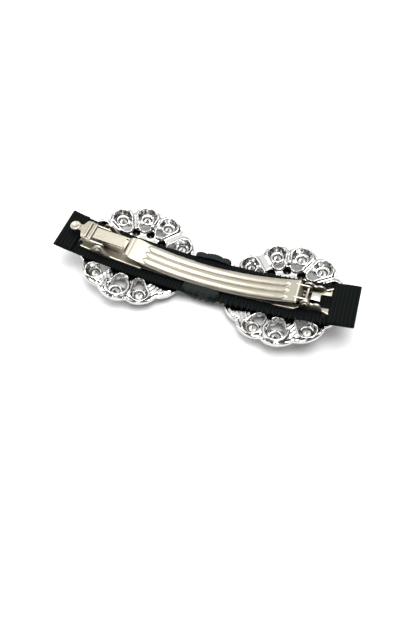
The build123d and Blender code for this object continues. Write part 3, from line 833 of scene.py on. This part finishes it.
class HAIRCLIP_OT_lever(Operator):
    """Adds the clasp lever with its dimpled knob, folds and pivot walls"""

    bl_idname = "hairclip.lever"
    bl_label = "Clasp lever"

    def execute(self, context):
        sizes = context.scene.clip_sizes
        nose_x = -28.75
        tail_x = -46.4
        nose_half = 2.25
        sheet = 0.5
        route = ((-46.4, 14.86), (-42.3, 14.86), (-41.5, 14.35), (-40.7, 14.33), (-39.9, 13.84), (nose_x, 12.8))

        def route_z(x):
            for (xa, za), (xb, zb) in zip(route, route[1:]):
                if x <= xb:
                    share = (x - xa) / (xb - xa)
                    steep = abs((zb - za) / (xb - xa)) > 0.3
                    return za + (zb - za) * (ease(share) if steep else share)
            return route[-1][1]

        def crest(x):
            """Bright rolled creases where the sheet folds."""
            return 0.16 * exp(-(((x + 42.3) / 0.28) ** 2)) + 0.16 * exp(-(((x + 40.5) / 0.28) ** 2))

        def half_at(x):
            neck = 1.15
            shoulder = 3.62
            wide = neck + (shoulder - neck) * ease((x + 44.9) / 1.4)
            return wide + (nose_half - wide) * ease((x + 40.7) / 0.8)

        def place(a, b):
            x = tail_x + (a + 1) / 2 * (nose_x - tail_x)
            y = b * half_at(x)
            shoulder = ease((x + 44.0) / 1.0) * (1 - ease((x + 41.0) / 0.5))
            droop = 0.5 * shoulder * ease((abs(b) - 0.72) / 0.28) ** 2
            return (x, CLIP_Y + y, route_z(x) + crest(x) - droop - sheet / 2)

        bm = bmesh.new()
        sheet_grid(bm, 200, 36, place)
        blank = piece_from(bm, "lever_blank", nickel_sheet(), 60)
        solid = blank.modifiers.new("sheet", "SOLIDIFY")
        solid.thickness = sheet * MM
        solid.offset = 0.0
        rounding = blank.modifiers.new("edges", "BEVEL")
        rounding.width = sizes.edge_round
        rounding.segments = 2
        rounding.limit_method = "ANGLE"
        rounding.angle_limit = radians(50)
        apply_modifiers(blank)

        bm = bmesh.new()
        bm.from_mesh(blank.data)
        bmesh.ops.scale(bm, vec=(1 / MM, 1 / MM, 1 / MM), verts=bm.verts)
        px, pz = LEVER_PIVOT
        for side in (1, -1):
            outline = [(-43.3, 14.55), (-42.0, 14.4), (-41.2, 13.95), (-40.3, 13.5), (px + 1.0, pz + 1.0)]
            outline += [(px + 1.35 * cos(t), pz + 1.35 * sin(t)) for t in (radians(15 - 30 * i) for i in range(5))]
            outline += [(-40.6, 12.2), (-43.1, 13.5)]
            HAIRCLIP_OT_arm.plate(bm, outline, side * 3.42, 0.26)
            flange = [(x, route_z(x) - 0.2) for x in (-39.8, -36.0, -32.0, -29.4)]
            flange += [(-29.6, route_z(-29.4) - 1.0), (-35.0, route_z(-35.0) - 1.25), (-39.6, route_z(-39.8) - 1.3)]
            HAIRCLIP_OT_arm.plate(bm, flange, side * (nose_half - 0.22), 0.22)
        knob = Matrix.Translation((-47.3, CLIP_Y, 14.45))
        profile = (
            (0, 0.42), (0.55, 0.44), (0.95, 0.58), (1.25, 0.80), (1.5, 0.86), (1.74, 0.78), (1.85, 0.55),
            (1.84, 0.25), (1.7, 0.06), (1.4, 0.0), (0, 0.0),
        )
        lathe(bm, profile, knob, 40)
        made = piece_from(bm, "knobbed_lever", nickel_sheet(), 38)
        data = blank.data
        bpy.data.objects.remove(blank)
        bpy.data.meshes.remove(data)
        settle(made, "lever", "nickel_steel", "clasp_lever")
        return {"FINISHED"}


# ---- castings -------------------------------------------------------------------------------
def casting_matrix(hand):
    """Local frame of a casting: its middle, tangent to the ribbon's bend; mirrored on the right."""
    x = MEDALLION_X[hand]
    tilt = atan(x / sqrt(BOW_RADIUS**2 - x * x))
    up = Vector((-sin(tilt), 0, cos(tilt)))
    along = Vector((cos(tilt), 0, sin(tilt))) * (-1 if hand == "right" else 1)
    origin = Vector((x, 0, ribbon_z(x) - CASTING_DROP / cos(tilt)))
    turn = Matrix((along, (0, 1, 0), up)).transposed().to_4x4()
    return Matrix.Translation(origin) @ turn


def polar(radius, angle, height=0.0):
    """Local point on a casting, with the height measured from its back face."""
    return Vector((radius * cos(radians(angle)), radius * sin(radians(angle)), dome(radius) + height))


def stand(radius, angle, lean=0.0):
    """Matrix that stands a shape on a casting, leaning outwards by an angle in degrees."""
    spin = Matrix.Rotation(radians(angle), 4, "Z")
    return Matrix.Translation(polar(radius, angle)) @ spin @ Matrix.Rotation(radians(lean), 4, "Y")


LOBES = SEAT_ANGLES + (LEAF_LOBE,)


def between(angles):
    """(middle, half gap) for each pair of neighbouring angles."""
    pairs = zip(angles, angles[1:] + (angles[0] + 360,))
    return [((a + b) / 2, (b - a) / 2) for a, b in pairs]


SEAT_SIZE = {69: 1.1, 100: 1.2, 132: 1.12, 265: 1.22}
RIDGED = (247, 311, 344)         # middles of the webs that are cut as ridged leaves
SEAT_OUT = SEAT_RING + 0.2
SEAT_PROFILE = (
    (0.0, -1.9), (1.9, -1.9), (2.15, -1.5), (2.6, -0.5), (2.95, 0.4), (3.25, 0.7), (3.6, 0.45), (4.3, 0.0),
)


def outline_radius(angle):
    """Radius of the scalloped edge: a peak at each lobe and a notch between lobes."""
    for middle, half_gap in between(LOBES):
        off = abs((angle - middle + 180) % 360 - 180)
        if off <= half_gap:
            return 19.5 + 1.5 * sin(pi / 2 * off / half_gap) ** 0.75
    return 20.5


def seat_distance(u, v, angle):
    """Distance from a seat's axis, stretched inwards so that each seat is a teardrop, and the way out."""
    c, s = cos(radians(angle)), sin(radians(angle))
    out, side = u * c + v * s, v * c - u * s
    share = min(1.0, max(0.0, (SEAT_OUT - out) / 4.4))
    reach = hypot(out - SEAT_OUT + 4.4 * share, side)
    return reach / (1 - 0.38 * share) / SEAT_SIZE.get(angle, 1.0), out, side


def profile_height(profile, distance):
    for (da, ha), (db, hb) in zip(profile, profile[1:]):
        if distance <= db:
            return ha + (hb - ha) * ease((distance - da) / (db - da))
    return profile[-1][1]


def shell_height(radius, angle):
    """Height of the casting's back face over its dome."""
    u, v = radius * cos(radians(angle)), radius * sin(radians(angle))
    edge = outline_radius(angle) - radius
    lip = 0.42 * exp(-(((edge - 0.55) / 0.3) ** 2)) - 0.75 * max(0.0, 1 - edge / 0.5) ** 2
    height = -0.35 + 0.35 * ease((edge - 0.9) / 1.1) + lip
    if radius < 11.2:
        height = -0.25
    for middle in RIDGED:
        off = (angle - middle + 180) % 360 - 180
        if abs(off) < 14 and radius > 11:
            comb = abs(sin(pi * (radius / 1.45 + (0.09 if middle > 300 else -0.12) * off))) ** 0.7
            height += 0.55 * comb * (1 - (off / 14) ** 2) * ease((radius - 11) / 3) * ease((edge - 0.7) / 1.5)
    for seat in SEAT_ANGLES:
        reach, _, _ = seat_distance(u, v, seat)
        if reach < 4.3:
            wall = profile_height(SEAT_PROFILE, reach)
            height = wall if reach < 3.25 else max(height, wall * ease((edge - 0.2) / 0.9) + min(0.0, height))
    # under the ribbon and its stiffener the casting stays clear of them
    across = abs(v - CLIP_Y)
    room = dome(abs(u)) - dome(radius)
    if across < 8.9:
        height = min(height, room + (0.38 if across < 7.4 else 1.0))
    return height


def is_open(radius, angle):
    """Whether the casting is cut through at a point."""
    u, v = radius * cos(radians(angle)), radius * sin(radians(angle))
    for seat in SEAT_ANGLES:
        reach, out, side = seat_distance(u, v, seat)
        if hypot(out - SEAT_OUT + 0.2, side) < 1.7:
            return True
        if reach < 2.5 and 10.9 + 0.25 * abs(side) < out < 14.3 - 0.12 * side * side:
            return True
    for middle, _ in between(LOBES):
        off = radians(angle - middle)
        if hypot(radius * cos(off) - INNER_RING, radius * sin(off)) < 1.5:
            return True
    return False


def cast_medallion(bm):
    """The openwork casting, built in its local frame from overlapping closed shapes."""
    spots = {}

    def place(a, b):
        share = (b + 1) / 2
        angle = a * 180
        radius = 20.3 * share + (outline_radius(angle) - 20.3) * share**6
        return (radius, angle, 0)

    verts = sheet_grid(bm, 520, 84, place)
    for vertex in verts:
        radius, angle = vertex.co.x, vertex.co.y
        spots[vertex] = (radius, angle)
    open_faces = []
    for face in list(bm.faces):
        radius = sum(spots[v][0] for v in face.verts) / 4
        angle = sum(spots[v][1] for v in face.verts) / 4
        if radius > 5.0 and is_open(radius, angle):
            open_faces.append(face)
    for vertex, (radius, angle) in spots.items():
        vertex.co = polar(radius, angle, shell_height(radius, angle))
    bmesh.ops.delete(bm, geom=open_faces, context="FACES")
    bmesh.ops.remove_doubles(bm, verts=bm.verts, dist=0.02)
    bmesh.ops.recalc_face_normals(bm, faces=bm.faces)
    if sum(f.normal.z for f in bm.faces) < 0:
        bmesh.ops.reverse_faces(bm, faces=bm.faces)
    bmesh.ops.solidify(bm, geom=bm.faces[:], thickness=0.9)
    # collars that hold the stones
    for angle in SEAT_ANGLES:
        collar = ((1.72, -2.45), (2.4, -2.5), (2.55, -1.8), (2.2, -1.35), (1.95, -1.25), (1.72, -1.5))
        lathe(bm, collar, stand(SEAT_RING, angle), 30, closed=True)
    for middle, _ in between(LOBES):
        collar = ((1.5, -1.4), (2.2, -1.5), (2.2, -0.5), (1.9, -0.2), (1.5, -0.4))
        lathe(bm, collar, stand(INNER_RING, middle), 26, closed=True)
    # thick scroll that curls round the largest seat of the near side, and its bead
    points, radii = [], []
    for i in range(11):
        share = i / 10
        turn = radians(265 + 150 - 250 * share)
        spot = Vector((SEAT_OUT - 1.3, 0, 0))
        spot.rotate(Matrix.Rotation(radians(265), 3, "Z"))
        flat = Vector((spot.x + 4.15 * cos(turn), spot.y + 4.15 * sin(turn), 0))
        flat.z = dome(flat.length) + 0.65
        points.append(flat)
        radii.append(0.45 + 0.55 * sin(pi * share) ** 0.6)
    wire(bm, points, radii, 0.72)
    bead = bmesh.ops.create_uvsphere(bm, u_segments=16, v_segments=12, radius=1.1)
    bmesh.ops.transform(bm, matrix=Matrix.Translation(polar(13.0, 87, 0.5)), verts=bead["verts"])


class HAIRCLIP_OT_medallions(Operator):
    """Adds the two openwork castings, fused from their scrolls, leaves and collars"""

    bl_idname = "hairclip.medallions"
    bl_label = "Openwork medallions"

    def execute(self, context):
        sizes = context.scene.clip_sizes
        pattern = bmesh.new()
        cast_medallion(pattern)
        for hand in MEDALLION_X:
            bm = pattern.copy()
            bmesh.ops.transform(bm, matrix=casting_matrix(hand), verts=bm.verts)
            piece = piece_from(bm, f"{hand}_openwork_casting", silver_casting(), 180)
            fuse = piece.modifiers.new("fuse", "REMESH")
            fuse.mode = "VOXEL"
            fuse.voxel_size = sizes.casting_voxel
            fuse.use_smooth_shade = True
            melt = piece.modifiers.new("melt", "SMOOTH")
            melt.factor = 0.5
            melt.iterations = 3
            apply_modifiers(piece)
            settle(piece, "base", "bright_casting", f"{hand}_medallion")
            for name in (f"{hand}_inner_cups", f"{hand}_centre_cup"):
                bm = softened_copy(name, 0.12)
                cup = piece_from(bm, f"{name}_plated", silver_casting(), 35)
                settle(cup, "base", "bright_casting", name)
            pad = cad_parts[f"{hand}_glue_pad"].data.materials
            pad.clear()
            pad.append(black_felt())
        pattern.free()
        return {"FINISHED"}


# ---- stones ---------------------------------------------------------------------------------
def cut_stone(bm, radius, girdle, point, crown, matrix, sides=8, foil=False):
    """A cut stone standing on its point upwards, or only the foil cone on its back."""
    rings = [(radius, girdle), (radius, girdle - 0.22), (radius * 0.58, girdle - 0.22 - crown)]
    if foil:
        rings = [(radius + 0.03, girdle - 0.1), (radius + 0.03, girdle + 0.02)]
    loops = []
    for number, (reach, height) in enumerate(rings):
        twist = pi / sides if number == 2 and not foil else 0.0
        made = bmesh.ops.create_circle(bm, segments=sides * 2, radius=reach, cap_ends=False)
        matrix_here = matrix @ Matrix.Translation((0, 0, height)) @ Matrix.Rotation(twist, 4, "Z")
        bmesh.ops.transform(bm, matrix=matrix_here, verts=made["verts"])
        loops.append(made["verts"])
    edges = [[e for v in loop for e in v.link_edges if e.other_vert(v) in set(loop)] for loop in loops]
    for first, second in zip(edges, edges[1:]):
        bmesh.ops.bridge_loops(bm, edges=list(set(first) | set(second)))
    tip = bm.verts.new(matrix @ Vector((0, 0, girdle + point + (0.03 if foil else 0.0))))
    upper = loops[-1] if foil else loops[0]
    mid_ring = []
    count = len(upper)
    for index, vertex in enumerate(upper):
        after = upper[(index + 1) % count]
        bm.faces.new((vertex, after, tip))
        mid_ring.append(vertex)
    if not foil:
        bm.faces.new(loops[-1])


class HAIRCLIP_OT_stones(Operator):
    """Adds the cut stones and the foil on their backs"""

    bl_idname = "hairclip.stones"
    bl_label = "Rhinestones"

    def execute(self, context):
        rim = [(SEAT_RING, a) for a in SEAT_ANGLES]
        inner = [(INNER_RING, middle) for middle, _ in between(LOBES)]
        inner_face = dome(INNER_RING - 2.2) - dome(INNER_RING) - 1.3
        kinds = (
            ("rim_stones", rim, 1.85, 0.2 - 2.67 + 0.25, 1.5, 0.5),
            ("inner_stones", inner, 1.7, inner_face - 1.68 + 0.25, 1.7, 0.45),
            ("centre_stone", [(0.0, 0.0)], 3.95, -3.1, 1.3, 0.65),
        )
        for hand in MEDALLION_X:
            turn = casting_matrix(hand)
            for name, spots, radius, girdle, point, crown in kinds:
                sides = 12 if name == "centre_stone" else 8
                for part, foil, finish in (("cut", False, cut_glass), ("foil", True, stone_foil)):
                    bm = bmesh.new()
                    for reach, angle in spots:
                        cut_stone(bm, radius, girdle, point, crown, turn @ stand(reach, angle), sides, foil)
                    piece = piece_from(bm, f"{hand}_{name}_{part}", finish(), 5)
                    if foil:
                        settle(piece, "base", "rhinestone")
                    else:
                        settle(piece, "base", "rhinestone", f"{hand}_{name}")
        return {"FINISHED"}


# ---- stage ----------------------------------------------------------------------------------
class HAIRCLIP_OT_stage(Operator):
    """Adds the pale floor, the soft studio light and the camera"""

    bl_idname = "hairclip.stage"
    bl_label = "Floor, light and camera"

    def execute(self, context):
        scene = context.scene
        settings = scene.clip_stage
        bm = bmesh.new()
        bmesh.ops.create_grid(bm, x_segments=1, y_segments=1, size=settings.floor_size / 2 / MM)
        paper = bpy.data.materials.new("pale_paper")
        paper.use_nodes = True
        tree = paper.node_tree
        shader = tree.nodes["Principled BSDF"]
        fibres = node(tree, "ShaderNodeTexNoise", Vector=node(tree, "ShaderNodeTexCoord").outputs["Object"], Scale=400.0)
        floor = scene.clip_colours.floor
        low = opaque([c * 0.99 for c in floor])
        tree.links.new(mix(tree, fibres.outputs["Fac"], low, opaque(floor)), shader.inputs["Base Color"])
        shader.inputs["Roughness"].default_value = 0.9
        shader.inputs["Specular IOR Level"].default_value = 0.1
        piece_from(bm, "floor", paper)

        world = bpy.data.worlds.new("studio")
        scene.world = world
        world.use_nodes = True
        tree = world.node_tree
        background = tree.nodes["Background"]
        toward = node(tree, "ShaderNodeTexCoord").outputs["Generated"]
        facing = node(
            tree, "ShaderNodeVectorMath", [("operation", "DOT_PRODUCT")], i0=toward, i1=(-0.2, 0.55, 0.81)
        ).outputs["Value"]
        shades = node(tree, "ShaderNodeValToRGB", Fac=ramp(tree, facing, -1.0, 1.0))
        stops = shades.color_ramp.elements
        stops[0].position = 0.3
        stops[0].color = (0.35, 0.35, 0.35, 1)
        stops[1].position = 1.0
        stops[1].color = (1.0, 1.0, 1.0, 1)
        for position, level in ((0.5, 0.22), (0.62, 0.05), (0.74, 0.07), (0.84, 0.7), (0.92, 0.95)):
            stop = stops.new(position)
            stop.color = (level, level, level, 1)
        tree.links.new(shades.outputs["Color"], background.inputs["Color"])
        background.inputs["Strength"].default_value = 1.2

        for name, spot, size, power in (
            ("overhead_softbox", (0.05, 0.05, 0.55), 0.42, settings.softbox),
            ("left_softbox", (-0.45, -0.10, 0.32), 0.25, settings.softbox * 0.35),
            ("front_softbox", (0.15, -0.50, 0.22), 0.20, settings.softbox * 0.15),
        ):
            light = bpy.data.lights.new(name, "AREA")
            light.size = size
            light.energy = power
            lamp = bpy.data.objects.new(name, light)
            lamp.location = spot
            lamp.rotation_euler = (Vector((0, 0, 0.005)) - Vector(spot)).to_track_quat("-Z", "Y").to_euler()
            scene.collection.objects.link(lamp)

        camera = bpy.data.cameras.new("camera")
        camera.lens = settings.lens
        camera.sensor_width = 36.0
        camera.sensor_fit = "AUTO"
        camera.shift_y = -0.0545
        camera.clip_start = 0.01
        camera.clip_end = 20.0
        azimuth, elevation, reach = radians(18.513), radians(55.868), 173.727
        target = Vector((2.838, -5.159, 9.82))
        back = Vector((sin(azimuth) * cos(elevation), -cos(azimuth) * cos(elevation), sin(elevation)))
        holder = bpy.data.objects.new("camera", camera)
        holder.location = (target + back * reach) * MM
        holder.rotation_euler = (-back).to_track_quat("-Z", "Y").to_euler()
        scene.collection.objects.link(holder)
        scene.camera = holder
        scene.view_settings.view_transform = "Standard"
        return {"FINISHED"}


# ---- add-on ---------------------------------------------------------------------------------
STEPS = (
    HAIRCLIP_OT_stage,
    HAIRCLIP_OT_ribbon,
    HAIRCLIP_OT_knot,
    HAIRCLIP_OT_thread,
    HAIRCLIP_OT_base,
    HAIRCLIP_OT_arm,
    HAIRCLIP_OT_lever,
    HAIRCLIP_OT_medallions,
    HAIRCLIP_OT_stones,
)


class HAIRCLIP_PT_panel(Panel):
    bl_label = "Hair Clip"
    bl_idname = "HAIRCLIP_PT_panel"
    bl_space_type = "VIEW_3D"
    bl_region_type = "UI"
    bl_category = "Hair Clip"

    def draw(self, context):
        for settings in (context.scene.clip_colours, context.scene.clip_sizes, context.scene.clip_stage):
            box = self.layout.box()
            for name in settings.__annotations__:
                box.prop(settings, name)
        for step in STEPS:
            self.layout.operator(step.bl_idname)


GROUPS = (("clip_colours", ClipColours), ("clip_sizes", ClipSizes), ("clip_stage", ClipStage))


def register():
    for name, kind in GROUPS:
        bpy.utils.register_class(kind)
        setattr(bpy.types.Scene, name, PointerProperty(type=kind))
    for step in STEPS:
        bpy.utils.register_class(step)
    bpy.utils.register_class(HAIRCLIP_PT_panel)


def unregister():
    bpy.utils.unregister_class(HAIRCLIP_PT_panel)
    for step in reversed(STEPS):
        bpy.utils.unregister_class(step)
    for name, kind in reversed(GROUPS):
        delattr(bpy.types.Scene, name)
        bpy.utils.unregister_class(kind)


def main():
    register()
    for step in STEPS:
        family, action = step.bl_idname.split(".")
        getattr(getattr(bpy.ops, family), action)()
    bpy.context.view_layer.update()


if __name__ == "__main__":
    main()
